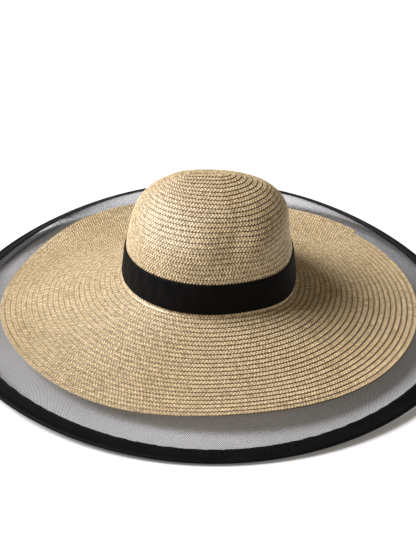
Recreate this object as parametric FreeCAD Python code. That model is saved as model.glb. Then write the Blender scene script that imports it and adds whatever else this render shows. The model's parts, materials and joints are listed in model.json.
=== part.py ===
import FreeCAD, Part
import math
import os

# Wide-brimmed straw sun hat, standing on its wired rim with the crown up.
# +Z is up, +X runs along the crown's longer axis, and the origin lies on the crown's axis
# at the height of the surface that the rim rests on. Lengths are in millimetres.
#
# A paper-straw braid makes the crown and the brim. A black ribbon goes round the crown,
# a ring of stiff black net hangs under the edge of the straw, and a folded black binding
# closes the net's rim round a springy wire. A grosgrain sweatband lines the head opening.

os.makedirs("parts", exist_ok=True)

# ---- straw ----
STRAW = 1.9  # thickness of the sewn braid, with its overlap
CROWN_R = 93.8  # outside of the crown where it meets the brim
CROWN_FOOT = 8.0  # height over which the crown's wall stands straight
WALL_R = 90.1  # outside of the crown at the top of its round wall
WALL_TOP = 38.0
# above the wall the crown is oval: (height, half length along X, half width along Y, shift along X)
DOME = (
    (57.0, 86.8, 85.5, 0.0),
    (74.0, 84.4, 78.0, 1.5),
    (89.0, 79.0, 66.0, 2.6),
    (102.0, 69.0, 52.0, 2.4),
    (110.5, 59.0, 40.0, 2.0),
    (119.0, 38.0, 19.0, -1.0),
    (126.0, 20.0, 4.0, -2.5),
)
STRAW_EDGE_R = 229.0  # outer edge of the straw brim
ROOT_SLOPE = 0.385  # fall of the brim beside the crown, as a gradient
EDGE_SLOPE = 0.05  # fall of the brim at its straw edge
# (waves round the brim, height, direction of the first crest in degrees)
STRAW_WAVES = ((1, 3.6, 90), (2, 1.8, -164), (3, 1.2, 63), (4, 1.5, 110), (5, 1.9, -61))

# ---- net, binding and wire ----
RIM_R = 280.0  # outermost edge of the binding
RIM_DROP = 41.7  # mean height of the rim below the foot of the crown
RIM_WAVES = ((1, 4.2, 90), (2, 4.4, 164), (3, 5.3, -90))
BINDING_W = 18.0  # width of the folded binding
BINDING_SLOPE = 0.2  # its fall towards the rim
BINDING_HALF = 0.9  # half the thickness of the flat part of the fold
BULGE_HALF = 1.9  # half the thickness of the fold round the wire
BULGE_REACH = 1.0  # the fold keeps that thickness this far outside the wire's ring
FOLD_GAP_HALF = 0.3  # half the gap that holds the net's edge
POCKET_HALF = 1.15  # half the height of the pocket round the wire
NET_INNER_R = 221.0
NET_OUTER_R = 270.0
NET_HALF = 0.2
NET_UNDER = 1.35  # the net's middle lies this far below the straw's middle
WIRE_RING_R = 277.8
WIRE_R = 0.65
WIRE_SIDES = 8
FERRULE_LENGTH = 12.0
FERRULE_OUTER_R = 1.0
FERRULE_INNER_R = 0.8

# ---- ribbon and sweatband ----
BAND_LOW = 5.0  # lower edge of the ribbon above the crown's foot
BAND_HIGH = 38.0
BAND_GAP = 0.3  # the ribbon lies this far off the straw
BAND_THICK = 0.8
LAP_ANGLE = 8.0  # degrees of the crown that the ribbon's lap covers
LAP_GAP = 0.05
SWEAT_GAP = 0.3
SWEAT_THICK = 1.0
SWEAT_STRAIGHT = 12.0  # height over which the sweatband's wall is a cylinder
SWEAT_HIGH = 32.0

# ---- sewing threads ----
THREAD = 0.4
NET_SEAM_R = 225.0
BINDING_SEAM_R = 264.0
CLEAR = 0.03

JOIN_SIDE = 90.0  # direction in degrees where the ribbon and the wire are joined
TRACK_POINTS = 72
FULL_TURN = 2 * math.pi
UP = FreeCAD.Vector(0, 0, 1)
CENTRE = FreeCAD.Vector(0, 0, 0)


# ---- heights of the brim ----
def wave(terms, angle):
    """Height of a rim's waves in the direction of an angle."""
    return sum(size * math.cos(count * angle - math.radians(crest)) for count, size, crest in terms)


def rim_height(angle):
    return wave(RIM_WAVES, angle) - RIM_DROP


def binding_height(radius, angle):
    """Middle of the folded binding, above the crown's foot."""
    return rim_height(angle) + BINDING_SLOPE * (RIM_R - radius)


def straw_height(radius, angle):
    """Middle of the straw brim: steep beside the crown, nearly level at the edge, and wavy outwards."""
    reach = (radius - CROWN_R) / (STRAW_EDGE_R - CROWN_R)
    fall = (ROOT_SLOPE * reach + (EDGE_SLOPE - ROOT_SLOPE) * reach**2 / 2) * (STRAW_EDGE_R - CROWN_R)
    return wave(STRAW_WAVES, angle) * reach**2 - fall


def net_height(radius, angle):
    """Middle of the net: against the straw, then one smooth fall into the binding."""
    if radius <= STRAW_EDGE_R:
        return straw_height(radius, angle) - NET_UNDER
    fold_r = RIM_R - BINDING_W
    if radius >= fold_r:
        return binding_height(radius, angle)
    span = fold_r - STRAW_EDGE_R
    t = (radius - STRAW_EDGE_R) / span
    start = straw_height(STRAW_EDGE_R, angle) - NET_UNDER
    end = binding_height(fold_r, angle)
    ease_start = (1 + 2 * t) * (1 - t) ** 2
    ease_end = t * t * (3 - 2 * t)
    leave = t * (1 - t) ** 2 * span * -EDGE_SLOPE
    arrive = t * t * (t - 1) * span * -BINDING_SLOPE
    return start * ease_start + end * ease_end + leave + arrive


def foot_height():
    """Height of the crown's foot when the lowest fold of the rim touches the surface below."""
    angles = [math.radians(i / 2) for i in range(720)]
    lowest = min(binding_height(WIRE_RING_R + BULGE_REACH, angle) for angle in angles)
    return BULGE_HALF - lowest


FOOT_Z = foot_height()


# ---- ways to make a solid ----
def ring_track(radius, offset, height):
    """Closed curve round the hat at one radius, an offset above a wavy height."""
    points = []
    for i in range(TRACK_POINTS):
        angle = FULL_TURN * i / TRACK_POINTS
        z = FOOT_Z + height(radius, angle) + offset
        points.append(FreeCAD.Vector(radius * math.cos(angle), radius * math.sin(angle), z))
    curve = Part.BSplineCurve()
    curve.interpolate(Points=points, PeriodicFlag=True)
    return curve.toShape()


def wavy_ring(corners, height):
    """Solid ring whose cross-section has these (radius, offset) corners about a wavy height."""
    tracks = [ring_track(radius, offset, height) for radius, offset in corners]
    faces = [Part.makeRuledSurface(a, b) for a, b in zip(tracks, tracks[1:] + tracks[:1])]
    shell = Part.makeShell(faces)
    shell.sewShape()
    solid = Part.makeSolid(Part.Shell(shell.Faces))
    if solid.Volume < 0:
        solid.reverse()
    return solid


def sheet_corners(stations, half):
    """Corners of a thin sheet that runs through these radii."""
    upper = [(radius, half) for radius in stations]
    lower = [(radius, -half) for radius in reversed(stations)]
    return upper + lower


def even_steps(first, last, count):
    return [first + (last - first) * i / (count - 1) for i in range(count)]


def turned(edges, degrees=360.0, start=0.0):
    """Solid of revolution of a closed outline in the XZ plane, raised to the crown's foot."""
    face = Part.Face(Part.Wire(edges))
    solid = face.revolve(CENTRE, UP, degrees)
    solid.rotate(CENTRE, UP, start)
    solid.translate(FreeCAD.Vector(0, 0, FOOT_Z))
    if solid.Volume < 0:
        solid.reverse()
    return solid


def spot(radius, height):
    return FreeCAD.Vector(radius, 0, height)


def outline(points):
    """Straight edges through the points and back to the first."""
    return [Part.LineSegment(a, b).toShape() for a, b in zip(points, points[1:] + points[:1])]


# ---- crown ----
LEAN = (CROWN_R - WALL_R) / (WALL_TOP - CROWN_FOOT)


def wall_radius(height, inset=0.0):
    """Radius of the crown's wall at a height, an inset inside its outer surface."""
    return CROWN_R - max(0.0, height - CROWN_FOOT) * LEAN - inset


def dome_ovals(inset):
    """The dome's ovals from the top of the wall up, an inset inside the outer surface."""
    stations = [(WALL_TOP, WALL_R, WALL_R, 0.0), *DOME]
    ovals = [(WALL_TOP, WALL_R - inset, WALL_R - inset, 0.0)]
    for i in range(1, len(stations)):
        height, half_x, half_y, shift = stations[i]
        below = stations[i - 1]
        above = stations[min(i + 1, len(stations) - 1)]
        rise = above[0] - below[0]
        inward = (below[1] + below[2] - above[1] - above[2]) / 2
        slant = math.hypot(rise, inward)
        down = inset * inward / slant
        side = inset * rise / slant
        ovals.append((height - down, half_x - side, half_y - side, shift))
    return ovals


def oval_wire(height, half_x, half_y, shift):
    centre = spot(shift, height)
    oval = Part.Ellipse(spot(shift + half_x, height), FreeCAD.Vector(shift, half_y, height), centre)
    return Part.Wire(oval.toShape())


def crown_block(inset):
    """Solid that fills the crown up to an inset inside its outer surface."""
    low = -STRAW / 2
    foot = Part.makeCylinder(CROWN_R - inset, CROWN_FOOT - low, spot(0, low))
    wall = Part.makeCone(
        CROWN_R - inset, WALL_R - inset, WALL_TOP - CROWN_FOOT, spot(0, CROWN_FOOT)
    )
    wires = [oval_wire(*oval) for oval in dome_ovals(inset)]
    dome = Part.makeLoft(wires, True)
    return foot.fuse([wall, dome])


def straw_crown():
    crown = crown_block(0).cut(crown_block(STRAW))
    crown.translate(FreeCAD.Vector(0, 0, FOOT_Z))
    return crown


# ---- brim ----
def straw_brim():
    stations = even_steps(CROWN_R + CLEAR, NET_INNER_R, 8) + [STRAW_EDGE_R]
    return wavy_ring(sheet_corners(stations, STRAW / 2), straw_height)


def mesh_brim():
    under_straw = [NET_INNER_R, STRAW_EDGE_R]
    in_the_open = even_steps(STRAW_EDGE_R, RIM_R - BINDING_W, 5)[1:]
    stations = under_straw + in_the_open + [NET_OUTER_R]
    return wavy_ring(sheet_corners(stations, NET_HALF), net_height)


def brim_binding():
    """Fabric strip folded over the net's edge, with a pocket round the wire at the fold."""
    fold_r = RIM_R - BINDING_W
    half = (
        (fold_r, BINDING_HALF),
        (WIRE_RING_R - 3.0, BINDING_HALF),
        (WIRE_RING_R - 1.2, BULGE_HALF),
        (WIRE_RING_R + BULGE_REACH, BULGE_HALF),
        (RIM_R, BINDING_HALF),
    )
    pocket = (
        (WIRE_RING_R + POCKET_HALF, POCKET_HALF),
        (WIRE_RING_R - POCKET_HALF, POCKET_HALF),
        (WIRE_RING_R - 2.0, FOLD_GAP_HALF),
        (fold_r, FOLD_GAP_HALF),
    )
    lower = [(radius, -offset) for radius, offset in reversed(half)]
    lower_pocket = [(radius, -offset) for radius, offset in reversed(pocket)]
    return wavy_ring(list(half) + lower + lower_pocket + list(pocket), binding_height)


def brim_wire():
    corners = []
    for i in range(WIRE_SIDES):
        turn = FULL_TURN * i / WIRE_SIDES
        corners.append((WIRE_RING_R + WIRE_R * math.cos(turn), WIRE_R * math.sin(turn)))
    return wavy_ring(corners, wire_height)


def wire_height(radius, angle):
    """The wire's section stays level, whatever the radius."""
    return binding_height(WIRE_RING_R, angle)


def wire_ferrule():
    """Crimped tube that joins the two ends of the wire."""
    angle = math.radians(JOIN_SIDE)
    step = FERRULE_LENGTH / 2 / WIRE_RING_R
    rise = wire_height(WIRE_RING_R, angle + step) - wire_height(WIRE_RING_R, angle - step)
    along = FreeCAD.Vector(-FERRULE_LENGTH, 0, rise).normalize()
    middle = FreeCAD.Vector(0, WIRE_RING_R, FOOT_Z + wire_height(WIRE_RING_R, angle))
    start = middle - along * (FERRULE_LENGTH / 2)
    tube = Part.makeCylinder(FERRULE_OUTER_R, FERRULE_LENGTH, start, along)
    return tube.cut(Part.makeCylinder(FERRULE_INNER_R, FERRULE_LENGTH, start, along))


# ---- ribbon and sweatband ----
def wall_strip(low, high, near, far):
    """Outline of a strip on the crown's wall, between two distances outside its outer surface."""
    return outline(
        [
            spot(wall_radius(low) + near, low),
            spot(wall_radius(low) + far, low),
            spot(CROWN_R + far, CROWN_FOOT),
            spot(wall_radius(high) + far, high),
            spot(wall_radius(high) + near, high),
            spot(CROWN_R + near, CROWN_FOOT),
        ]
    )


def hat_band():
    return turned(wall_strip(BAND_LOW, BAND_HIGH, BAND_GAP, BAND_GAP + BAND_THICK))


def band_lap():
    """Folded end of the ribbon, tacked over its start."""
    near = BAND_GAP + BAND_THICK + LAP_GAP
    strip = wall_strip(BAND_LOW, BAND_HIGH, near, near + BAND_THICK)
    return turned(strip, LAP_ANGLE, JOIN_SIDE - LAP_ANGLE / 2)


SWEAT_R = CROWN_R - STRAW - SWEAT_GAP - SWEAT_THICK  # inner wall of the head opening


def sweatband():
    """Straight at the seam, then leaning in with the crown's wall."""
    lean_back = wall_radius(SWEAT_HIGH, STRAW + SWEAT_GAP)
    knee_back = wall_radius(SWEAT_STRAIGHT, STRAW + SWEAT_GAP)
    low = -STRAW / 2
    return turned(
        outline(
            [
                spot(SWEAT_R, low),
                spot(SWEAT_R + SWEAT_THICK, low),
                spot(SWEAT_R + SWEAT_THICK, CROWN_FOOT),
                spot(knee_back, SWEAT_STRAIGHT),
                spot(lean_back, SWEAT_HIGH),
                spot(lean_back - SWEAT_THICK, SWEAT_HIGH),
                spot(knee_back - SWEAT_THICK, SWEAT_STRAIGHT),
                spot(SWEAT_R, CROWN_FOOT),
            ]
        )
    )


# ---- sewing threads ----
def thread_ring(radius, low, high, height):
    corners = [(radius, low), (radius + THREAD, low), (radius + THREAD, high), (radius, high)]
    return wavy_ring(corners, height)


def mesh_seam_thread():
    """Needle thread on the straw and bobbin thread under the net."""
    straw_top = STRAW / 2 + CLEAR
    needle = thread_ring(NET_SEAM_R, straw_top, straw_top + THREAD, straw_height)
    net_bottom = -NET_HALF - CLEAR
    bobbin = thread_ring(NET_SEAM_R, net_bottom - THREAD, net_bottom, net_height)
    return Part.makeCompound([needle, bobbin])


def binding_thread():
    """The binding's top and bottom stitch lines, just outside its inner edge."""
    face = BINDING_HALF + CLEAR
    upper = thread_ring(BINDING_SEAM_R, face, face + THREAD, binding_height)
    lower = thread_ring(BINDING_SEAM_R, -face - THREAD, -face, binding_height)
    return Part.makeCompound([upper, lower])


def sweatband_seam_thread():
    """Overcast seam under the lower edges of the sweatband and the crown."""
    low = -STRAW / 2 - CLEAR
    near = SWEAT_R + SWEAT_THICK / 2
    far = CROWN_R - STRAW / 2
    return turned(
        outline([spot(near, low - THREAD), spot(far, low - THREAD), spot(far, low), spot(near, low)])
    )


NODES = {
    "straw_crown": straw_crown,
    "straw_brim": straw_brim,
    "hat_band": hat_band,
    "band_lap": band_lap,
    "sweatband": sweatband,
    "sweatband_seam_thread": sweatband_seam_thread,
    "mesh_brim": mesh_brim,
    "mesh_seam_thread": mesh_seam_thread,
    "brim_binding": brim_binding,
    "binding_thread": binding_thread,
    "brim_wire": brim_wire,
    "wire_ferrule": wire_ferrule,
}

for name, build in NODES.items():
    shape = build()
    size = shape.BoundBox
    print(
        f"{name}: valid {shape.isValid()}, {len(shape.Solids)} solid(s), {shape.Volume:.1f} mm3,",
        f"z {size.ZMin:.2f} to {size.ZMax:.2f}, r {size.XMax:.2f}",
    )
    shape.exportStep(f"parts/{name}.step")
print(f"foot of the crown at {FOOT_Z:.3f}, head opening radius {SWEAT_R:.2f}")
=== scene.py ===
import json
import math

import bpy
import numpy as np
from mathutils import Matrix, Vector

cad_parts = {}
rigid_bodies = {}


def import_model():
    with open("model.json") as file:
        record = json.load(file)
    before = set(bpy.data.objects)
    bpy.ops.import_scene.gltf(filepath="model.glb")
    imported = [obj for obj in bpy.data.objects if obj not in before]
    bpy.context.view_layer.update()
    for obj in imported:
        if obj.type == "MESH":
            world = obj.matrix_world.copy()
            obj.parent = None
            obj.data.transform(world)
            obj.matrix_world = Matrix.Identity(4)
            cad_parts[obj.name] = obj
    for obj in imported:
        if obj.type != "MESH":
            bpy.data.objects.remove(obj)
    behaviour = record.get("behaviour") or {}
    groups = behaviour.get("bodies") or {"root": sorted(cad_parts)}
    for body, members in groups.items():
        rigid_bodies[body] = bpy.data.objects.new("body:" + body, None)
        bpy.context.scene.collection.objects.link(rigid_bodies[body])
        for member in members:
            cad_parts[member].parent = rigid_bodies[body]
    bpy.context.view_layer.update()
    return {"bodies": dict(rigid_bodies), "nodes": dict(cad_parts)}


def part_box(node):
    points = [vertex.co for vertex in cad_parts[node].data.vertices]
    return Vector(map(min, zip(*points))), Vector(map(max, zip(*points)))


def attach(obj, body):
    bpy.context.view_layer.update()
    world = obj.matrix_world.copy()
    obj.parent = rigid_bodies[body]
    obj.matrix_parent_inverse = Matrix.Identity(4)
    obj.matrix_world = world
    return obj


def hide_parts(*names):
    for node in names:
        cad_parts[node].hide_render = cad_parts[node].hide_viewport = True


# Straw sun hat: paper-straw braid, black ribbon, black net brim edge in a wired binding.
# Shapes are worked out in millimetres in the frame of the solid part and stored in metres.

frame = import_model()
BODY = sorted(frame["bodies"])[0]
MM = 0.001

# ---- sizes shared with the solid part ----
STRAW = 1.9  # thickness
CROWN_R = 93.8  # outer radius at the crown's foot
CROWN_FOOT = 8.0  # the wall is upright below this height and leans inwards above it
WALL_R = 90.1  # outer radius at the wall's upper end
WALL_TOP = 38.0
STRAW_EDGE_R = 229.0
# the straw brim falls outwards at these gradients beside the crown and at its edge
ROOT_SLOPE = 0.385
EDGE_SLOPE = 0.05
# (waves round the brim, height, direction of the first crest in degrees)
STRAW_WAVES = ((1, 3.6, 90), (2, 1.8, -164), (3, 1.2, 63), (4, 1.5, 110), (5, 1.9, -61))
RIM_R = 280.0
RIM_DROP = 41.7  # mean height of the rim below the crown's foot
RIM_WAVES = ((1, 4.2, 90), (2, 4.4, 164), (3, 5.3, -90))
BINDING_W = 18.0
NET_INNER_R = 221.0
NET_OUTER_R = 270.0
NET_UNDER = 1.35  # from the middle of the straw down to the middle of the net
WIRE_RING_R = 277.8
WIRE_RISE = 0.44  # the wire lies this far above the middle of the rim
BAND_LOW = 5.0
BAND_HIGH = 38.0
BAND_GAP = 0.3
BAND_THICK = 0.8
SWEAT_GAP = 0.3
SWEAT_THICK = 1.0
SWEAT_HIGH = 32.0
FOOT_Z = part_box("straw_crown")[0].z / MM + STRAW / 2
FULL_TURN = 2 * math.pi
UV_UNIT = 100.0  # length of one unit of the weave's coordinates


# ---- heights of the brim ----
# the binding rises inwards at this gradient, steeper at the back than in front
BINDING_SLOPE = 0.34
SLOPE_SWING = 0.2
# a crease wanders outwards across the net between two directions
CREASE_FROM = math.radians(134)
CREASE_TO = math.radians(164)
CREASE_INNER_R = 235.0
CREASE_OUTER_R = 251.0
CREASE_DROP = 4.6
CREASE_WIDTH = 2.0
CREASE_RISE = 4.0  # it is full after a quarter of its length and fades over the last quarter
CREASE_RUN_ON = 1.15  # share of its length at which it ends
CREASE_FADE = 6.0  # the crease dies out over this width beside the straw and the binding


def angle_from(angle, side):
    """Signed angle from a side, between minus and plus half a turn."""
    return (angle - side + math.pi) % FULL_TURN - math.pi


def wave(terms, angle):
    """Height of a brim's waves in the direction of an angle."""
    return sum(size * np.cos(count * angle - math.radians(crest)) for count, size, crest in terms)


def rim_height(angle):
    """Middle of the rim, below the foot of the crown and wavy."""
    return wave(RIM_WAVES, angle) - RIM_DROP


def binding_slope(angle):
    """Gradient of the binding in the direction of an angle."""
    return BINDING_SLOPE + SLOPE_SWING * np.sin(angle)


def binding_height(radius, angle):
    """Middle of the folded binding, which is turned about its wire."""
    return rim_height(angle) + WIRE_RISE + binding_slope(angle) * (WIRE_RING_R - radius)


def straw_height(radius, angle):
    """Middle of the straw brim: steep beside the crown, nearly level at the edge, and wavy outwards."""
    reach = (radius - CROWN_R) / (STRAW_EDGE_R - CROWN_R)
    fall = (ROOT_SLOPE * reach + (EDGE_SLOPE - ROOT_SLOPE) * reach**2 / 2) * (STRAW_EDGE_R - CROWN_R)
    return wave(STRAW_WAVES, angle) * reach**2 - fall


def net_height(radius, angle):
    """Middle of the net: against the straw, then one smooth fall into the binding."""
    fold_r = RIM_R - BINDING_W
    span = fold_r - STRAW_EDGE_R
    t = np.clip((radius - STRAW_EDGE_R) / span, 0, 1)
    start = straw_height(STRAW_EDGE_R, angle) - NET_UNDER
    end = binding_height(fold_r, angle)
    smooth = start * (1 + 2 * t) * (1 - t) ** 2 + end * t * t * (3 - 2 * t)
    smooth += t * (1 - t) ** 2 * span * -EDGE_SLOPE + t * t * (t - 1) * span * -binding_slope(angle)
    under_straw = straw_height(radius, angle) - NET_UNDER
    in_binding = binding_height(radius, angle)
    return np.where(radius <= STRAW_EDGE_R, under_straw, np.where(radius >= fold_r, in_binding, smooth))


def net_crease(radius, angle):
    """A crease in the net: a short drop outwards along a line that wanders from the straw to the rim."""
    along = angle_from(angle, CREASE_FROM) / (CREASE_TO - CREASE_FROM)
    line = CREASE_INNER_R + (CREASE_OUTER_R - CREASE_INNER_R) * along
    reach = np.clip(CREASE_RISE * along, 0, 1) * np.clip(CREASE_RISE * (CREASE_RUN_ON - along), 0, 1)
    off_straw = np.clip((radius - STRAW_EDGE_R) / CREASE_FADE, 0, 1)
    off_binding = np.clip((RIM_R - BINDING_W - radius) / CREASE_FADE, 0, 1)
    drop = np.tanh((line - radius) / CREASE_WIDTH)
    return CREASE_DROP * drop * reach * off_straw * off_binding


def wall_radius(height):
    """Outer radius of the crown's wall at a height above its foot."""
    return CROWN_R - np.maximum(0.0, height - CROWN_FOOT) * (CROWN_R - WALL_R) / (WALL_TOP - CROWN_FOOT)


# ---- the straw's surface ----
CORE_HALF = 18.0  # half length of the straight fold that the spiral starts round
CORE_FADE = 45.0  # distance over which the rows turn from a slot shape into an oval
CORE_SQUARE = 3.0  # how far the fold's points are drawn to its two ends
CORE_ROUND = 0.02  # the same where the rows are oval
# middle of the crown's straw:
# (distance along the surface, half length, half width in front, half width behind, shift, height)
CROWN_LINE = (
    (0.0, 18.9, 0.3, 0.3, -3.0, 122.8),
    (8.0, 26.2, 7.2, 6.8, -2.4, 121.5),
    (20.0, 37.3, 18.3, 17.0, -1.2, 118.2),
    (32.0, 48.2, 29.8, 25.5, 0.6, 114.0),
    (45.0, 58.4, 41.5, 34.5, 2.2, 109.0),
    (60.0, 68.5, 54.0, 46.0, 2.5, 101.0),
    (78.0, 78.3, 66.7, 61.0, 2.6, 88.2),
    (96.0, 83.4, 79.6, 74.0, 1.3, 73.7),
    (114.0, 85.8, 86.6, 84.0, 0.0, 57.3),
    (134.0, 89.15, 89.15, 89.15, 0.0, 38.0),
    (164.0, 92.85, 92.85, 92.85, 0.0, 8.0),
    (167.5, 92.9, 92.9, 92.9, 0.0, 4.5),
    (169.4, 93.2, 93.2, 93.2, 0.0, 2.6),
    (171.1, 93.95, 93.95, 93.95, 0.0, 1.1),
    (172.9, 95.15, 95.15, 95.15, 0.0, -0.2),
    (175.0, 97.0, 97.0, 97.0, 0.0, -1.2),
)
FOOT_START = 164.0
FOOT_END = CROWN_LINE[-1][0]
FOOT_END_R = CROWN_LINE[-1][1]
# (distance, how far a blunt upright ridge stands out, where the crown was once folded)
RIDGE_LINE = (
    (0.0, 0.0),
    (20.0, 2.0),
    (45.0, 5.0),
    (75.0, 4.5),
    (95.0, 1.5),
    (122.0, 0.0),
    (130.0, 0.0),
    (175.0, 0.0),
)
RIDGE_SIDE = math.radians(-76)
RIDGE_SHARP = 0.063  # radians over which its crest is rounded
RIDGE_LEFT = 0.27  # radians over which it dies out on each side
RIDGE_RIGHT = 0.42
# a shallow fold running down beside the ridge: a hollow with a raised lip
FOLD_LINE = (
    (0.0, 0.0),
    (45.0, 0.3),
    (70.0, 2.6),
    (95.0, 4.2),
    (116.0, 2.6),
    (128.0, 0.0),
    (132.0, 0.0),
    (175.0, 0.0),
)
FOLD_SIDE = math.radians(-65)
FOLD_WIDTH = 0.21
# the straw brim is this much wider than its mean towards +X and narrower at the left behind
WIDEN = 5.0
NARROW = 6.0
NARROW_SIDE = math.radians(150)
NARROW_REACH = math.radians(26)
# (distance, how far the crown bulges beside the ridge)
BULGE_LINE = (
    (0.0, 0.0),
    (45.0, -1.0),
    (78.0, 0.5),
    (105.0, 1.5),
    (134.0, 5.5),
    (165.0, 7.0),
    (175.0, 7.0),
)
BULGE_SIDE = math.radians(-38)
BULGE_WIDTH = 0.4
BULGE_FADE = 40.0  # the brim's rows lose the bulge over this distance


def smooth_line(stations, at):
    """Values at distances along a smooth line through the stations."""
    table = np.array(stations)
    x = table[:, 0]
    spot = np.clip(np.searchsorted(x, at) - 1, 0, len(x) - 2)
    span = x[spot + 1] - x[spot]
    t = np.clip((at - x[spot]) / span, 0, 1)
    result = []
    for y in table[:, 1:].T:
        slope = np.gradient(y, x)
        result.append(
            y[spot] * (1 + 2 * t) * (1 - t) ** 2
            + y[spot + 1] * t * t * (3 - 2 * t)
            + slope[spot] * span * t * (1 - t) ** 2
            + slope[spot + 1] * span * t * t * (t - 1)
        )
    return result


def brim_radius(distance):
    """Radius at a distance along the brim's slope from the end of the crown's foot."""
    past_edge = 12.0
    samples = 400
    radii = np.linspace(FOOT_END_R, STRAW_EDGE_R + past_edge, samples)
    reach = (radii - CROWN_R) / (STRAW_EDGE_R - CROWN_R)
    slope = ROOT_SLOPE + (EDGE_SLOPE - ROOT_SLOPE) * reach
    step = np.diff(radii) * np.sqrt(1 + ((slope[1:] + slope[:-1]) / 2) ** 2)
    return np.interp(distance, np.concatenate([[0], np.cumsum(step)]), radii)


def bulge(angle, distance):
    """How far the crown and the rows beside it stand out near the bulge."""
    size = smooth_line(BULGE_LINE, np.minimum(distance, FOOT_END))[0]
    fade = np.exp(-np.maximum(distance - FOOT_END, 0) / BULGE_FADE)
    return size * fade * np.exp(-(angle_from(angle, BULGE_SIDE) / BULGE_WIDTH) ** 2)


def ridge(angle, distance):
    """How far the blunt upright ridge stands out."""
    off = angle_from(angle, RIDGE_SIDE)
    blunt = np.sqrt(off**2 + RIDGE_SHARP**2) - RIDGE_SHARP
    size = smooth_line(RIDGE_LINE, np.minimum(distance, FOOT_END))[0]
    return size * np.exp(-blunt / np.where(off > 0, RIDGE_RIGHT, RIDGE_LEFT))


def widening(angle, distance):
    """The brim is a little wider on one side and narrower at the back of the other."""
    share = np.clip((distance - FOOT_END) / (STRAW_EDGE_R - FOOT_END_R), 0, 1)
    wide = WIDEN * np.clip(np.cos(angle), 0, 1) ** 2
    narrow = NARROW * np.exp(-((angle_from(angle, NARROW_SIDE) / NARROW_REACH) ** 2))
    return share * (wide - narrow)


def fold(angle, distance):
    """The shallow fold: inward before its side and outward after it."""
    size = smooth_line(FOLD_LINE, np.minimum(distance, FOOT_END))[0]
    off = angle_from(angle, FOLD_SIDE) / FOLD_WIDTH
    return size * off * np.exp(0.5 - 0.5 * off**2)


def straw_point(distance, angle):
    """Middle of the straw at a distance from the top fold, in the direction of an angle."""
    half_x, front, behind, shift, height = smooth_line(CROWN_LINE, np.minimum(distance, FOOT_END))
    slot = CORE_SQUARE * np.clip(1 - distance / CORE_FADE, 0, 1) + CORE_ROUND
    along = np.tanh(slot * np.cos(angle)) / np.tanh(slot)
    out = bulge(angle, distance) + ridge(angle, distance) + fold(angle, distance)
    half_y = np.where(np.sin(angle) < 0, front, behind)
    crown_x = shift + CORE_HALF * along + (half_x + out - CORE_HALF) * np.cos(angle)
    crown_y = (half_y + out) * np.sin(angle)
    radius = brim_radius(distance - FOOT_END)
    on_brim = distance > FOOT_END
    join = straw_height(FOOT_END_R, angle) - CROWN_LINE[-1][-1]
    settle = np.clip((distance - FOOT_START) / (FOOT_END - FOOT_START), 0, 1)
    reach = radius + out + widening(angle, distance)
    x = np.where(on_brim, reach * np.cos(angle), crown_x)
    y = np.where(on_brim, reach * np.sin(angle), crown_y)
    z = np.where(on_brim, straw_height(radius, angle), height + join * settle)
    return np.stack([x, y, z + FOOT_Z], -1)


def straw_normal(distance, angle):
    """Direction away from the straw's upper face."""
    reach = 0.6
    turn = 0.01
    outward = straw_point(distance + reach, angle) - straw_point(np.maximum(distance - reach, 0), angle)
    around = straw_point(distance, angle + turn) - straw_point(distance, angle - turn)
    normal = np.cross(outward, around)
    return normal / np.maximum(np.linalg.norm(normal, axis=-1, keepdims=True), 1e-9)


# ---- meshes ----
def mesh_object(name, points, faces, material, uv=None, **traits):
    """Smooth object from points in millimetres; the UV and the traits have a value for each point."""
    faces = np.asarray(faces, dtype=np.int32)
    sides = faces.shape[1]
    mesh = bpy.data.meshes.new(name)
    mesh.vertices.add(len(points))
    mesh.vertices.foreach_set("co", (np.asarray(points) * MM).astype(np.float32).ravel())
    mesh.loops.add(faces.size)
    mesh.loops.foreach_set("vertex_index", faces.ravel())
    mesh.polygons.add(len(faces))
    mesh.polygons.foreach_set("loop_start", np.arange(0, faces.size, sides, dtype=np.int32))
    mesh.update(calc_edges=True)
    mesh.validate()
    mesh.polygons.foreach_set("use_smooth", np.ones(len(mesh.polygons), dtype=bool))
    if uv is not None:
        layer = mesh.uv_layers.new(name="Weave")
        layer.data.foreach_set("uv", np.asarray(uv, dtype=np.float32)[faces.ravel()].ravel())
    for trait, values in traits.items():
        attribute = mesh.attributes.new(trait, "FLOAT", "POINT")
        attribute.data.foreach_set("value", values.astype(np.float32).ravel())
    mesh.materials.append(material)
    piece = bpy.data.objects.new(name, mesh)
    bpy.context.scene.collection.objects.link(piece)
    return piece


def grid_faces(rows, columns, wrap_rows=False, wrap_columns=False):
    """Quads of a grid of points, closed on itself either way if asked."""
    i = np.arange(rows if wrap_rows else rows - 1)[:, None]
    j = np.arange(columns if wrap_columns else columns - 1)[None, :]
    next_i = (i + 1) % rows
    next_j = (j + 1) % columns
    corners = [i * columns + j, i * columns + next_j, next_i * columns + next_j, next_i * columns + j]
    return np.stack(corners, -1).reshape(-1, 4)


def finish_piece(piece, slot, *nodes):
    """Tie a piece to the hat's body and hide the solid nodes that it stands for. The slot is not used."""
    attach(piece, BODY)
    if nodes:
        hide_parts(*nodes)
    return piece


# ---- materials ----
def new_material(name, roughness):
    """New material with its node tree and its surface shader."""
    material = bpy.data.materials.new(name)
    material.use_nodes = True
    shader = material.node_tree.nodes["Principled BSDF"]
    shader.inputs["Roughness"].default_value = roughness
    return material, material.node_tree, shader


def node(tree, kind, values=(), links=(), **settings):
    """New node with input values and links given as (input, value or output socket)."""
    made = tree.nodes.new(kind)
    for key, value in settings.items():
        setattr(made, key, value)
    for key, value in values:
        made.inputs[key].default_value = value
    for key, socket in links:
        tree.links.new(socket, made.inputs[key])
    return made


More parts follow.
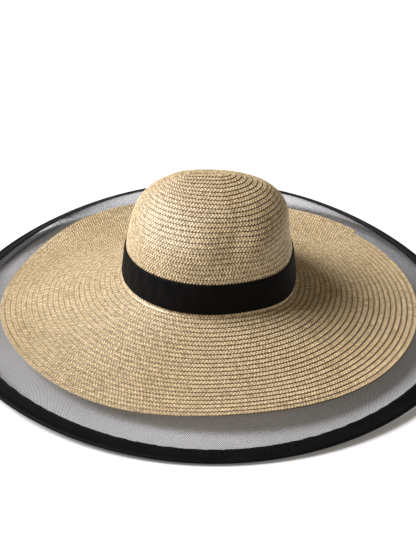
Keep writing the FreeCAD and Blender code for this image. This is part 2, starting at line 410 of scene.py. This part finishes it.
def ramp(tree, socket, stops):
    """Colour ramp through (position, colour) stops."""
    made = node(tree, "ShaderNodeValToRGB", links=[("Fac", socket)])
    elements = made.color_ramp.elements
    while len(elements) < len(stops):
        elements.new(0.5)
    for element, (position, colour) in zip(elements, stops):
        element.position = position
        element.color = (*colour, 1)
    return made.outputs["Color"]


def mix(tree, factor, first, second, blend="MIX"):
    """Mixed colour. Each input is a socket or a value."""
    made = node(tree, "ShaderNodeMix", data_type="RGBA", blend_type=blend)
    for key, value in (("Factor", factor), ("A", first), ("B", second)):
        inputs = [i for i in made.inputs if i.name == key and i.enabled]
        if isinstance(value, bpy.types.NodeSocket):
            tree.links.new(value, inputs[0])
        else:
            inputs[0].default_value = (*value, 1) if isinstance(value, tuple) else value
    return [o for o in made.outputs if o.enabled][0]


def uv_parts(tree):
    """The weave's two coordinates: along the strip and across it."""
    uv = node(tree, "ShaderNodeUVMap", uv_map="Weave")
    parts = node(tree, "ShaderNodeSeparateXYZ", links=[("Vector", uv.outputs["UV"])])
    return parts.outputs["X"], parts.outputs["Y"]


def bump(tree, shader, height, distance, strength):
    """Fine relief of the surface, as deep as the distance in metres."""
    made = node(
        tree,
        "ShaderNodeBump",
        values=[("Strength", strength), ("Distance", distance)],
        links=[("Height", height)],
    )
    tree.links.new(made.outputs["Normal"], shader.inputs["Normal"])


def straw_material():
    """Paper straw: warm tan strands, with painted shade in the grooves between rows and between the nubs,
    and painted highlights on the nub tops.
    """
    material, tree, shader = new_material("paper_straw_braid", 0.42)
    across = uv_parts(tree)[1]
    place = node(tree, "ShaderNodeTexCoord").outputs["Object"]
    patches = node(tree, "ShaderNodeTexNoise", [("Scale", 14.0), ("Detail", 3.0)], [("Vector", place)])
    tone = ramp(
        tree,
        patches.outputs["Fac"],
        [(0.3, (0.62, 0.495, 0.28)), (0.55, (0.68, 0.555, 0.33)), (0.75, (0.73, 0.61, 0.385))],
    )
    strands = node(
        tree,
        "ShaderNodeTexNoise",
        [("Scale", 300.0), ("Detail", 2.0), ("Roughness", 0.6)],
        [("Vector", place)],
    )
    speck = ramp(
        tree,
        strands.outputs["Fac"],
        [(0.32, (0.6, 0.55, 0.48)), (0.5, (1, 1, 1)), (0.66, (1.35, 1.35, 1.35))],
    )
    straw = mix(tree, 1.0, tone, speck, "MULTIPLY")
    # painted shade between the nubs and painted highlights on their tops, from each point's height in the
    # plait
    relief = node(tree, "ShaderNodeAttribute", attribute_name="relief").outputs["Fac"]
    nubs = ramp(
        tree, relief, [(0.1, (0.17, 0.1, 0.05)), (0.42, (0.8, 0.74, 0.66)), (0.78, (1.24, 1.27, 1.32))]
    )
    straw = mix(tree, 1.0, straw, nubs, "MULTIPLY")
    # painted shade in the grooves between rows: dark under the lap of the row inside and at each row's
    # outer edge, as strong as the painted groove shade trait
    shade = ramp(
        tree,
        across,
        [
            (0.0, (0.08, 0.05, 0.03)),
            (0.17, (0.13, 0.08, 0.04)),
            (0.28, (1, 1, 1)),
            (0.86, (1, 1, 1)),
            (0.92, (0.24, 0.17, 0.1)),
            (0.98, (0.06, 0.04, 0.02)),
        ],
    )
    gap = node(tree, "ShaderNodeAttribute", attribute_name="gap").outputs["Fac"]
    tree.links.new(mix(tree, gap, straw, shade, "MULTIPLY"), shader.inputs["Base Color"])
    fibre = node(tree, "ShaderNodeTexNoise", [("Scale", 1500.0), ("Detail", 3.0)], [("Vector", place)])
    bump(tree, shader, fibre.outputs["Fac"], 0.00025, 0.6)
    shader.inputs["Specular IOR Level"].default_value = 0.8
    return material


def cloth_material(name, colour, lighter, ribs_along, ribs_across, roughness):
    """Woven black cloth, with fine ribs and worn, lighter patches."""
    material, tree, shader = new_material(name, roughness)
    along, across = uv_parts(tree)
    place = node(tree, "ShaderNodeTexCoord").outputs["Object"]
    patches = node(tree, "ShaderNodeTexNoise", [("Scale", 45.0), ("Detail", 4.0)], [("Vector", place)])
    tone = ramp(tree, patches.outputs["Fac"], [(0.35, colour), (0.7, lighter)])
    warp = node(tree, "ShaderNodeMath", [(1, ribs_along * FULL_TURN)], [(0, along)], operation="MULTIPLY")
    weft = node(tree, "ShaderNodeMath", [(1, ribs_across * FULL_TURN)], [(0, across)], operation="MULTIPLY")
    warp_wave = node(tree, "ShaderNodeMath", links=[(0, warp.outputs[0])], operation="SINE")
    weft_wave = node(tree, "ShaderNodeMath", links=[(0, weft.outputs[0])], operation="SINE")
    weave = node(
        tree,
        "ShaderNodeMath",
        links=[(0, warp_wave.outputs[0]), (1, weft_wave.outputs[0])],
        operation="MULTIPLY",
    )
    dark = ramp(tree, weave.outputs[0], [(0.0, (0.7, 0.7, 0.7)), (0.6, (1, 1, 1))])
    tree.links.new(mix(tree, 1.0, tone, dark, "MULTIPLY"), shader.inputs["Base Color"])
    bump(tree, shader, weave.outputs[0], 0.0001, 0.5)
    shader.inputs["Specular IOR Level"].default_value = 0.1
    return material


def net_material():
    """Stiff nylon thread, nearly black."""
    material, tree, shader = new_material("nylon_net_thread", 0.45)
    place = node(tree, "ShaderNodeTexCoord").outputs["Object"]
    noise = node(tree, "ShaderNodeTexNoise", [("Scale", 25.0), ("Detail", 4.0)], [("Vector", place)])
    tone = ramp(tree, noise.outputs["Fac"], [(0.3, (0.012, 0.012, 0.014)), (0.7, (0.03, 0.03, 0.034))])
    tree.links.new(tone, shader.inputs["Base Color"])
    grain = node(tree, "ShaderNodeTexNoise", [("Scale", 900.0)], [("Vector", place)])
    bump(tree, shader, grain.outputs["Fac"], 0.0001, 0.4)
    shader.inputs["Specular IOR Level"].default_value = 0.4
    return material


def thread_material(name, dark, light):
    """Two-ply sewing thread."""
    material, tree, shader = new_material(name, 0.6)
    place = node(tree, "ShaderNodeTexCoord").outputs["Object"]
    noise = node(tree, "ShaderNodeTexNoise", [("Scale", 1200.0), ("Detail", 3.0)], [("Vector", place)])
    tone = ramp(tree, noise.outputs["Fac"], [(0.35, dark), (0.65, light)])
    tree.links.new(tone, shader.inputs["Base Color"])
    bump(tree, shader, noise.outputs["Fac"], 0.0001, 0.6)
    return material


def metal_material(name, dark, light, roughness):
    """Drawn or crimped metal with fine scratches."""
    material, tree, shader = new_material(name, roughness)
    place = node(tree, "ShaderNodeTexCoord").outputs["Object"]
    noise = node(tree, "ShaderNodeTexNoise", [("Scale", 700.0), ("Detail", 5.0)], [("Vector", place)])
    tone = ramp(tree, noise.outputs["Fac"], [(0.3, dark), (0.7, light)])
    tree.links.new(tone, shader.inputs["Base Color"])
    bump(tree, shader, noise.outputs["Fac"], 0.00005, 0.5)
    shader.inputs["Metallic"].default_value = 1.0
    return material


# ---- straw braid ----
CROWN_PITCH = 5.51  # distance between rows
BRIM_PITCH = 5.93
END_SIDE = math.radians(41)  # where the braid's outer end is sewn down
NUB_PITCH = 3.4  # length of one crossing of the plait
BRAID_STEP = 0.8
OVERLAP = 0.17  # share of a row that runs on under the row inside it
# across the braid's upper face: (place in the row, height above the middle of the straw)
BRAID_TOP = (
    (-0.5 - OVERLAP, -0.85),
    (-0.46, -0.3),
    (-0.36, 0.05),
    (-0.22, 0.22),
    (-0.08, 0.1),
    (0.02, 0.05),
    (0.12, 0.2),
    (0.26, 0.4),
    (0.4, 0.3),
    (0.47, 0.05),
    (0.5, -0.4),
)
BRAID_UNDER = ((0.45, -0.95), (0.0, -0.8), (-0.45, -1.05))
NUB = 0.46  # height of a nub
NUB_SLANT = 1.1
NUB_WIDTH = 0.52  # share of a row that a column of nubs takes
NUB_INNER = -0.24  # places of the two columns in the row
NUB_OUTER = 0.25
NUB_SINK = 0.15  # share of its height by which a nub lies deeper
# painted shade in the grooves between rows: a mean, a swing round the hat towards its shaded side, and a
# cut low on the crown
GROOVE_SHADE_SIDE = math.radians(-15)  # direction, turned from the key light, in which the grooves between rows get the most painted shade
GROOVE_SHADE_MEAN = 0.62
GROOVE_SHADE_SWING = 0.4
CROWN_GROOVE_SHADE_LOW = 130.0  # distance from the top at which the painted groove shade is weakest
CROWN_GROOVE_SHADE_REACH = 40.0
CROWN_GROOVE_SHADE_CUT = 0.45  # share of the painted groove shade that is lost there
BAND_START = 134.0  # from here to the crown's foot the ribbon presses the nubs down
PRESSED = 0.3  # share of their height that is left there
# places in rows from the top fold, where the braid's start is pressed together
START_ROW = 0.03
START_SPREAD = 0.02
START_CLOSED = 0.3  # up to here the straw has no dips below the height that follows
START_HEIGHT = 0.1
START_GROOVE_SHADE = 0.7  # from here on the grooves between rows get painted shade
START_LENGTH_ROW = 0.1  # lengths along the first turn are measured at least this far out
CROWN_ROWS = FOOT_END / CROWN_PITCH
ALL_ROWS = 55.025  # from the top fold to the straw's edge
FIRST_TURN = -0.45
LAST_TURN = ALL_ROWS - 0.5
CROWN_CUTS = (FIRST_TURN, 15.0, 24.0, CROWN_ROWS - 0.5)
BRIM_PARTS = 5
BRIM_SPACING = 14.0  # the smaller, the fewer turns the outer parts have


def row_distance(row):
    """Distance from the top fold, counted in rows."""
    return np.where(row < CROWN_ROWS, row * CROWN_PITCH, FOOT_END + (row - CROWN_ROWS) * BRIM_PITCH)


def braid_angle(turn):
    """Direction of the braid's middle after some turns, outward and clockwise from above."""
    return END_SIDE + (LAST_TURN - turn) * FULL_TURN


def even_turns(first, last):
    """Turns at equal steps along the braid, and the lengths run by then."""
    fine_step = 1 / 720
    turns = np.arange(first, last, fine_step)
    points = straw_point(row_distance(np.maximum(turns, START_LENGTH_ROW)), braid_angle(turns))
    length = np.concatenate([[0], np.cumsum(np.linalg.norm(np.diff(points, axis=0), axis=1))])
    steps = int(length[-1] / BRAID_STEP)
    even = np.linspace(0, length[-1], steps + 1)
    return np.interp(even, length, turns), even


def row_gap(distance, angle):
    """Strength of the painted shade in the grooves between rows, up to 1: strongest on the side turned from
    the key light, and weaker low on the crown.
    """
    sided = GROOVE_SHADE_MEAN + GROOVE_SHADE_SWING * np.cos(angle - GROOVE_SHADE_SIDE)
    low = np.exp(-(((distance - CROWN_GROOVE_SHADE_LOW) / CROWN_GROOVE_SHADE_REACH) ** 2))
    return np.clip(sided * (1 - CROWN_GROOVE_SHADE_CUT * low), 0, 1)


def plait(length, place):
    """The plait's strands: two columns of slanting nubs, half a nub apart, up to about one high."""
    outer = place > 0
    middle = np.where(outer, NUB_OUTER, NUB_INNER)
    slant = np.where(outer, -NUB_SLANT, NUB_SLANT)
    phase = length / NUB_PITCH + 0.5 * outer + slant * (place - middle)
    cover = np.cos(math.pi * np.clip((place - middle) / NUB_WIDTH, -0.5, 0.5))
    return (np.cos(FULL_TURN * phase) - NUB_SINK) * cover


def braid_piece(name, first, last, material, slot):
    """A run of the spiral braid between two turns, as one closed strip."""
    turns, length = even_turns(first, last)
    section = np.array(BRAID_TOP + BRAID_UNDER)
    place = section[None, :, 0]
    row = np.maximum(turns[:, None] + place, START_ROW + START_SPREAD * place)
    angle = np.broadcast_to(braid_angle(turns)[:, None], row.shape)
    distance = row_distance(row)
    height = np.broadcast_to(section[None, :, 1], row.shape).copy()
    top = len(BRAID_TOP)
    relief = np.zeros(row.shape)
    relief[:, :top] = plait(length[:, None], place[:, :top])
    pressed = (distance > BAND_START) & (distance < FOOT_END)
    height += np.where(pressed, PRESSED * NUB, NUB) * relief
    height = np.where(row < START_CLOSED, np.maximum(height, START_HEIGHT), height)
    points = straw_point(distance, angle) + straw_normal(distance, angle) * height[..., None]
    rings, sides = row.shape
    shade = np.clip((place + 0.5 + OVERLAP) / (1 + OVERLAP), 0, 1)
    uv = np.stack(np.broadcast_arrays(length[:, None] / UV_UNIT, shade), -1)
    faces = grid_faces(rings, sides, wrap_columns=True)
    # strength of the painted shade in the grooves between rows, kept off the first turns
    gap = row_gap(distance, angle) * (row > START_GROOVE_SHADE)
    # the relief trait sets the painted shade between the nubs and the painted highlights on their tops
    piece = mesh_object(
        name,
        points.reshape(-1, 3),
        faces,
        material,
        uv.reshape(-1, 2),
        relief=0.5 + 0.5 * relief,
        gap=gap,
    )
    return finish_piece(piece, slot)


def straw_pieces():
    """The spiral, cut into runs. The outer ones have fewer turns, because their turns are longer."""
    material = straw_material()
    names = ("straw_crown_top_rows", "straw_crown_middle_rows", "straw_crown_foot_rows")
    crown = [
        braid_piece(name, start, end, material, "paper_straw")
        for name, start, end in zip(names, CROWN_CUTS, CROWN_CUTS[1:])
    ]
    inner = CROWN_CUTS[-1] + BRIM_SPACING
    outer = ALL_ROWS + BRIM_SPACING
    brim_cuts = np.sqrt(np.linspace(inner**2, outer**2, BRIM_PARTS + 1)) - BRIM_SPACING
    brim_cuts[0] = CROWN_CUTS[-1]
    brim_cuts[-1] = LAST_TURN
    brim = [
        braid_piece(f"straw_brim_rows_{i + 1}", start, end, material, "paper_straw")
        for i, (start, end) in enumerate(zip(brim_cuts, brim_cuts[1:]))
    ]
    for piece in crown:
        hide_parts("straw_crown")
    for piece in brim:
        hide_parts("straw_brim")


# ---- net ----
NET_THREADS = 800
NET_THREAD_R = 0.175
NET_SEGMENTS = 15
NET_LAYER = 0.1  # the two families lie this far above and below the net's middle


def net_piece():
    """Two families of three-sided threads. Each runs at 45 degrees to the hat's radii."""
    radius = np.linspace(NET_INNER_R, NET_OUTER_R, NET_SEGMENTS + 1)
    sides = FULL_TURN * np.arange(3) / 3
    start = FULL_TURN * np.arange(NET_THREADS) / NET_THREADS
    points = []
    for lean in (1, -1):
        angle = start[:, None] + lean * np.log(radius / NET_INNER_R)[None, :]
        ring = np.broadcast_to(radius, angle.shape)
        across = NET_THREAD_R * np.cos(sides)
        up = NET_THREAD_R * np.sin(sides) + lean * NET_LAYER
        heading = angle + lean * math.pi / 4 + math.pi / 2
        x = (ring * np.cos(angle))[..., None] + across * np.cos(heading)[..., None]
        y = (ring * np.sin(angle))[..., None] + across * np.sin(heading)[..., None]
        z = (net_height(ring, angle) + net_crease(ring, angle) + FOOT_Z)[..., None] + up
        points.append(np.stack(np.broadcast_arrays(x, y, z), -1))
    points = np.concatenate(points)
    tube = grid_faces(NET_SEGMENTS + 1, 3, wrap_columns=True)
    offsets = np.arange(len(points)) * (NET_SEGMENTS + 1) * 3
    faces = (tube[None] + offsets[:, None, None]).reshape(-1, 4)
    piece = mesh_object("mesh_brim_net", points.reshape(-1, 3), faces, net_material())
    finish_piece(piece, "black_net", "mesh_brim")


# ---- binding ----
BINDING_STEPS = 1440
FACE_PUCKER = 0.16  # height of the small creases in the binding's faces
FACE_START = 2.0  # they begin this far inside the wire's ring
FACE_BLEND = 6.0  # and grow to their full height over this width
EDGE_PUCKER = 0.35  # how unevenly its inner edge runs
EDGE_START = 10.0
EDGE_BLEND = 5.0
# half of the fold's outer face: (distance inside the wire's ring, half thickness)
FOLD_FACE = (
    (15.8, 0.55),
    (15.4, 0.85),
    (13.0, 0.8),
    (10.0, 0.95),
    (6.5, 0.95),
    (3.6, 1.05),
    (2.2, 1.5),
    (1.1, 1.85),
    (0.0, 1.95),
    (-1.0, 1.75),
    (-1.8, 1.1),
    (-2.15, 0.0),
)
FOLD_INSIDE = ((-1.4, 0.0), (-0.9, 0.95), (0.0, 1.25), (1.2, 1.1), (2.4, 0.45), (15.8, 0.25))


def fold_section():
    """The folded tape's closed section, open inwards where the net goes in."""
    upper = list(FOLD_FACE)
    lower = [(inside, -half) for inside, half in reversed(FOLD_FACE[:-1])]
    lower_inside = [(inside, -half) for inside, half in reversed(FOLD_INSIDE[1:])]
    return np.array(upper + lower + lower_inside + list(FOLD_INSIDE))


def ring_points(section_r, section_z, angle, height):
    """Points of a section carried round the hat, with its heights taken off a wavy surface."""
    x = section_r * np.cos(angle)
    y = section_r * np.sin(angle)
    z = height(section_r, angle) + section_z + FOOT_Z
    return np.stack(np.broadcast_arrays(x, y, z), -1)


def pucker(angle, count, seed):
    """Uneven small waves round the rim, around the given count of them and mostly under one high."""
    spread = np.random.default_rng(seed)
    trains = 7
    total = 0
    for k in range(trains):
        share = 0.7 + 0.1 * k
        total = total + np.cos(angle * round(count * share) + spread.uniform(0, FULL_TURN))
    return total / 4


def binding_piece():
    """The tape, folded round the wire, with small creases and an uneven inner edge."""
    section = fold_section()
    angle = (FULL_TURN * np.arange(BINDING_STEPS) / BINDING_STEPS)[:, None]
    inside = section[None, :, 0]
    offset = section[None, :, 1]
    flat_part = np.clip((inside - FACE_START) / FACE_BLEND, 0, 1)
    edge_part = np.clip((inside - EDGE_START) / EDGE_BLEND, 0, 1)
    crease = FACE_PUCKER * pucker(angle, 260, 3) * flat_part * np.sign(offset)
    edge = EDGE_PUCKER * pucker(angle, 90, 4) * edge_part
    points = ring_points(WIRE_RING_R - inside - edge, offset + crease, angle, binding_height)
    run = np.concatenate([[0], np.cumsum(np.linalg.norm(np.diff(section, axis=0), axis=1))])
    uv = np.stack(np.broadcast_arrays(angle * RIM_R / UV_UNIT, run[None, :] / UV_UNIT), -1)
    faces = grid_faces(BINDING_STEPS, len(section), wrap_rows=True, wrap_columns=True)
    material = cloth_material(
        "black_binding_tape", (0.002, 0.002, 0.002), (0.005, 0.005, 0.005), 130, 130, 0.6
    )
    piece = mesh_object("brim_binding_tape", points.reshape(-1, 3), faces, material, uv.reshape(-1, 2))
    finish_piece(piece, "black_binding", "brim_binding")


# ---- stitches ----
def stitch_piece(name, material, slot, lines, thread_r, pitch, share, node_name):
    """Rings of separate stitches, whose ends sink into what they hold.

    A line has a function from direction and lift to points, its radius and its side: 1 above or -1 below.
    """
    section = 5
    along = 7
    lift = 0.6 * thread_r
    dive = 1.1 * thread_r
    end_width = 0.02  # keeps the ends from shrinking to points
    from_middle = np.abs(np.linspace(-1, 1, along))
    sink = from_middle**4
    thin = np.sqrt(np.clip(1 + end_width - from_middle**3, 0, 1))
    points = []
    for place, radius, side in lines:
        count = round(FULL_TURN * radius / pitch)
        middle = FULL_TURN * (np.arange(count) + 0.5) / count
        reach = np.linspace(-0.5, 0.5, along) * share * FULL_TURN / count
        angle = middle[:, None] + reach[None, :]
        centre = place(angle, side * (lift - dive * sink))
        turn = FULL_TURN * np.arange(section) / section
        out = np.stack([np.cos(angle), np.sin(angle), np.zeros_like(angle)], -1)
        up = np.array([0.0, 0.0, 1.0])
        ring = out[..., None, :] * np.cos(turn)[:, None] + up * np.sin(turn)[:, None]
        points.append(centre[..., None, :] + ring * (thread_r * thin)[None, :, None, None])
    points = np.concatenate(points)
    tube = grid_faces(along, section, wrap_columns=True)
    offsets = np.arange(len(points)) * along * section
    faces = (tube[None] + offsets[:, None, None]).reshape(-1, 4)
    piece = mesh_object(name, points.reshape(-1, 3), faces, material)
    return finish_piece(piece, slot, node_name)


NET_SEAM_R = 225.0
BINDING_SEAM_R = 264.0
# heights of the faces that the stitches lie on, off the middle of their layer
NUBS_TOP = 1.15
NET_FACE = 0.35
BINDING_FACE = 0.85
SWEAT_SEAM_Z = -1.1


def stitches():
    """The three sewn rings, two of them stitched on both faces."""
    straw_thread = thread_material("straw_sewing_thread", (0.42, 0.30, 0.17), (0.62, 0.48, 0.31))
    black_thread = thread_material("black_sewing_thread", (0.006, 0.006, 0.007), (0.03, 0.03, 0.032))

    def over(height, radius, offset):
        return lambda angle, lift: ring_points(radius, offset + lift, angle, height)

    stitch_piece(
        "mesh_seam_stitches",
        straw_thread,
        "straw_thread",
        [
            (over(straw_height, NET_SEAM_R, NUBS_TOP), NET_SEAM_R, 1),
            (over(net_height, NET_SEAM_R, -NET_FACE), NET_SEAM_R, -1),
        ],
        thread_r=0.2,
        pitch=3.2,
        share=0.8,
        node_name="mesh_seam_thread",
    )
    stitch_piece(
        "binding_stitches",
        black_thread,
        "black_thread",
        [
            (over(binding_height, BINDING_SEAM_R, BINDING_FACE), BINDING_SEAM_R, 1),
            (over(binding_height, BINDING_SEAM_R, -BINDING_FACE), BINDING_SEAM_R, -1),
        ],
        thread_r=0.2,
        pitch=3.0,
        share=0.82,
        node_name="binding_thread",
    )
    seam_r = CROWN_R - STRAW - SWEAT_GAP / 2
    stitch_piece(
        "sweatband_seam_stitches",
        straw_thread,
        "straw_thread",
        [(over(lambda radius, angle: 0 * angle, seam_r, SWEAT_SEAM_Z), seam_r, -1)],
        thread_r=0.25,
        pitch=4.0,
        share=0.8,
        node_name="sweatband_seam_thread",
    )


# ---- ribbon and sweatband ----
def wall_bulge(angle, height):
    """How far the wall stands out from its plain cone at a height above the foot."""
    distance = FOOT_START + CROWN_FOOT - height
    return bulge(angle, distance) + ridge(angle, distance)


RIB_PITCH = 1.3
RIB_POINTS = 4
BAND_LEVELS = 15
EDGE_THICKNESS = 0.55  # share of a ribbon's thickness that its edges have
WRINKLE_SIDE = math.radians(-140)
WRINKLE_REACH = 0.7
WRINKLE_ALL_ROUND = 0.1
WRINKLE_LEFT = 0.22
LAP_SIDE = math.radians(90)
LAP_HALF = math.radians(4)
LAP_GAP = 0.3


def wall_strip(name, material, slot, low, high, outside, thick, first, last, ribs, wrinkle, node_name):
    """A ribbon on the crown's wall between two directions, as a closed strip with fine ribs."""
    steps = round((last - first) * CROWN_R / RIB_PITCH) * RIB_POINTS
    whole = last - first > FULL_TURN - 1e-6
    angle = first + (last - first) * np.arange(steps if whole else steps + 1) / steps
    level = np.linspace(0, 1, BAND_LEVELS)
    rise = low + (high - low) * level
    rib = ribs * np.cos(FULL_TURN * angle * CROWN_R / RIB_PITCH)[:, None]
    crinkle = wrinkle(angle[:, None], level[None, :])
    edge = 1 - np.abs(2 * level - 1) ** 8
    wall = wall_radius(rise)[None, :] + outside + wall_bulge(angle[:, None], rise[None, :])
    outer = wall + thick * (EDGE_THICKNESS + (1 - EDGE_THICKNESS) * edge) + rib + crinkle
    inner = np.broadcast_to(wall, outer.shape)
    radius = np.concatenate([outer, inner[:, ::-1]], 1)
    height = np.broadcast_to(np.concatenate([rise, rise[::-1]]), radius.shape)
    x = radius * np.cos(angle)[:, None]
    y = radius * np.sin(angle)[:, None]
    points = np.stack([x, y, height + FOOT_Z], -1)
    run = np.concatenate([level, 2 - level]) * (high - low)
    uv = np.stack(np.broadcast_arrays(angle[:, None] * CROWN_R / UV_UNIT, run[None, :] / UV_UNIT), -1)
    faces = grid_faces(len(angle), radius.shape[1], wrap_rows=whole, wrap_columns=True)
    piece = mesh_object(name, points.reshape(-1, 3), faces, material, uv.reshape(-1, 2))
    return finish_piece(piece, slot, node_name)


def band_wrinkles(angle, level):
    """Shallow folds, strongest on the left. Two families slant opposite ways and grow upwards."""
    left = np.exp(-(angle_from(angle, WRINKLE_SIDE) / WRINKLE_REACH) ** 2)
    slanting = np.cos(31 * angle + 3.0 * level) + 0.6 * np.cos(47 * angle - 5.0 * level + 1.0)
    return (WRINKLE_ALL_ROUND + WRINKLE_LEFT * left) * slanting * (0.4 + 0.6 * level)


def ribbons():
    """The band round the crown, the lap over its joined ends and the sweatband inside."""
    ribbon = cloth_material(
        "black_ribbon_weave", (0.001, 0.001, 0.001), (0.003, 0.003, 0.003), 77, 200, 0.62
    )
    lining = cloth_material("sweatband_weave", (0.006, 0.006, 0.006), (0.014, 0.014, 0.015), 77, 180, 0.7)
    band = wall_strip(
        "hat_band_ribbon",
        ribbon,
        "black_ribbon",
        low=BAND_LOW,
        high=BAND_HIGH,
        outside=BAND_GAP,
        thick=BAND_THICK,
        first=0.0,
        last=FULL_TURN,
        ribs=0.05,
        wrinkle=band_wrinkles,
        node_name="hat_band",
    )
    wall_strip(
        "band_lap_ribbon",
        ribbon,
        "black_ribbon",
        low=BAND_LOW,
        high=BAND_HIGH,
        outside=BAND_GAP + BAND_THICK + LAP_GAP,
        thick=BAND_THICK,
        first=LAP_SIDE - LAP_HALF,
        last=LAP_SIDE + LAP_HALF,
        ribs=0.05,
        wrinkle=lambda angle, level: 0.1 * np.cos(5 * level) + 0 * angle,
        node_name="band_lap",
    )
    sweat = wall_strip(
        "sweatband_ribbon",
        lining,
        "grosgrain",
        low=-STRAW / 2,
        high=SWEAT_HIGH,
        outside=-STRAW - SWEAT_GAP - SWEAT_THICK,
        thick=SWEAT_THICK,
        first=0.0,
        last=FULL_TURN,
        ribs=0.06,
        wrinkle=lambda angle, level: 0 * (angle + level),
        node_name="sweatband",
    )


# ---- metal pieces, kept from the solid part ----
def repaint(node_name, material):
    """Give a kept piece its own material."""
    piece = frame["nodes"][node_name]
    piece.data.materials.clear()
    piece.data.materials.append(material)


def metal_nodes():
    """The rim's spring wire and the sleeve that joins its ends."""
    steel = metal_material("spring_wire_steel", (0.32, 0.32, 0.33), (0.5, 0.5, 0.51), 0.35)
    aluminium = metal_material("crimp_sleeve_aluminium", (0.6, 0.6, 0.62), (0.8, 0.8, 0.82), 0.3)
    repaint("brim_wire", steel)
    repaint("wire_ferrule", aluminium)


# ---- stage, light and camera ----
FLOOR_HALF = 30.0  # metres
ROOM_FILL = (0.2, 0.165, 0.12)  # light of the room on the hat, while the room itself looks white


def stage():
    """A wide, pale floor with a faint glow."""
    mesh = bpy.data.meshes.new("floor")
    corners = [(-FLOOR_HALF, -FLOOR_HALF, 0), (FLOOR_HALF, -FLOOR_HALF, 0)]
    corners += [(FLOOR_HALF, FLOOR_HALF, 0), (-FLOOR_HALF, FLOOR_HALF, 0)]
    mesh.from_pydata(corners, [], [(0, 1, 2, 3)])
    material, _, shader = new_material("pale_floor", 0.9)
    shader.inputs["Base Color"].default_value = (0.9, 0.9, 0.9, 1)
    shader.inputs["Specular IOR Level"].default_value = 0.0
    shader.inputs["Emission Color"].default_value = (1, 1, 1, 1)
    shader.inputs["Emission Strength"].default_value = 0.12
    mesh.materials.append(material)
    floor = bpy.data.objects.new("floor", mesh)
    bpy.context.scene.collection.objects.link(floor)


KEY_SIDE = math.radians(178)
KEY_HEIGHT = math.radians(44)


def lights():
    """A wide soft key from the left, over an even, warm fill."""
    data = bpy.data.lights.new("key", "SUN")
    data.energy = 4.7
    data.color = (1.0, 1.0, 1.08)
    data.angle = math.radians(36)
    key = bpy.data.objects.new("key", data)
    level = math.cos(KEY_HEIGHT)
    towards = Vector((level * math.cos(KEY_SIDE), level * math.sin(KEY_SIDE), math.sin(KEY_HEIGHT)))
    key.rotation_euler = towards.to_track_quat("Z", "Y").to_euler()
    bpy.context.scene.collection.objects.link(key)
    world = bpy.data.worlds.new("studio")
    world.use_nodes = True
    tree = world.node_tree
    seen = node(tree, "ShaderNodeLightPath").outputs["Is Camera Ray"]
    colour = mix(tree, seen, ROOM_FILL, (1.0, 1.0, 1.0))
    tree.links.new(colour, tree.nodes["Background"].inputs["Color"])
    bpy.context.scene.world = world
    bpy.context.scene.view_settings.view_transform = "Standard"


CAMERA_ELEVATION = math.radians(29.8)
CAMERA_DISTANCE = 1.648
CAMERA_ROLL = math.radians(0.9)
CAMERA_LENS = 97.6


def camera():
    """A long lens from the front, looking down at the crown's foot."""
    data = bpy.data.cameras.new("camera")
    data.lens = CAMERA_LENS
    data.shift_x = -0.0009
    data.shift_y = -0.0063
    forward = Vector((0, math.cos(CAMERA_ELEVATION), -math.sin(CAMERA_ELEVATION)))
    level_right = Vector((1, 0, 0))
    level_up = level_right.cross(forward)
    right = level_right * math.cos(CAMERA_ROLL) + level_up * math.sin(CAMERA_ROLL)
    up = level_up * math.cos(CAMERA_ROLL) - level_right * math.sin(CAMERA_ROLL)
    turn = Matrix((right, up, -forward)).transposed().to_4x4()
    target = Vector((0, 0, FOOT_Z * MM))
    made = bpy.data.objects.new("camera", data)
    made.matrix_world = Matrix.Translation(target - forward * CAMERA_DISTANCE) @ turn
    bpy.context.scene.collection.objects.link(made)
    bpy.context.scene.camera = made


straw_pieces()
net_piece()
binding_piece()
stitches()
ribbons()
metal_nodes()
stage()
lights()
camera()
